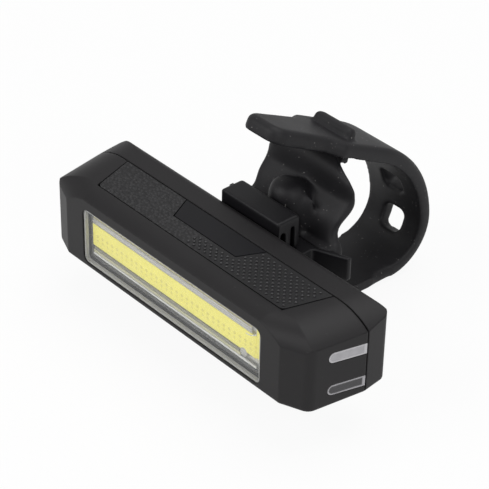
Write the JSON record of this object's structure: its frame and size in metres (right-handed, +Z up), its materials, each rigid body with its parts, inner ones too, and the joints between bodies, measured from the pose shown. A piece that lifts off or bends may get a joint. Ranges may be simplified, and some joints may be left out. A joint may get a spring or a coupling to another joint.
{
  "type": "bicycle headlight",
  "caption": "Slim black rectangular bicycle headlight with a long light strip behind a clear lens, on a rubber handlebar strap.",
  "frame": {"origin": "on the handlebar's axis, at the middle of the lamp's length", "axes": "+X along the handlebar and the lamp's length, -Y the way the light shines, +Z up"},
  "size_m": [0.075, 0.0619, 0.0444],
  "materials": {
    "housing": "fine satin moulding",
    "rubber": "matte black rubber",
    "clip_plastic": "satin moulding",
    "clear_plastic": "clear polished plastic",
    "frosted_plastic": "frosted clear plastic",
    "phosphor": "pale yellow silicone over light chips",
    "bright_frame": "silvered plastic",
    "light_board": "aluminium board with white mask",
    "circuit_board": "green solder mask",
    "steel": "plated steel",
    "cell_foil": "pouch foil"
  },
  "bodies": {
    "strap_mount": {"rubber_strap": "rubber", "bracket_base": "clip_plastic", "foot_insert": "steel", "mount_screw": "steel"},
    "lamp": {"front_shell": "housing", "back_cover": "housing", "body_seal": "rubber", "top_panel": "rubber", "lens": "clear_plastic", "lens_seal": "rubber", "cob_board": "light_board", "cob_strip": "phosphor", "reflector_frame": "bright_frame", "right_upper_window": "frosted_plastic", "left_upper_window": "frosted_plastic", "right_lower_window": "clear_plastic", "left_lower_window": "clear_plastic", "main_board": "circuit_board", "tact_switch": "clip_plastic", "usb_socket": "steel", "battery_cell": "cell_foil", "case_screws": "steel", "rear_clip": "clip_plastic", "clip_screws": "steel"},
    "button": {"power_button": "rubber"},
    "port_cover": {"usb_cover": "rubber"}
  },
  "joints": [
    {"name": "lamp_slide", "type": "slide", "parent": "strap_mount", "child": "lamp", "axis": [0, 0, 1], "range_m": [0, 0.01]},
    {"name": "button_press", "type": "slide", "parent": "lamp", "child": "button", "axis": [0, 0, -1], "range_m": [0, 0.0004], "stiffness_N_per_m": 1500},
    {"name": "cover_hinge", "type": "hinge", "parent": "lamp", "child": "port_cover", "pos_m": [-0.0225, -0.02435, -0.00055], "axis": [-1, 0, 0], "range_deg": [0, 100]}
  ]
}
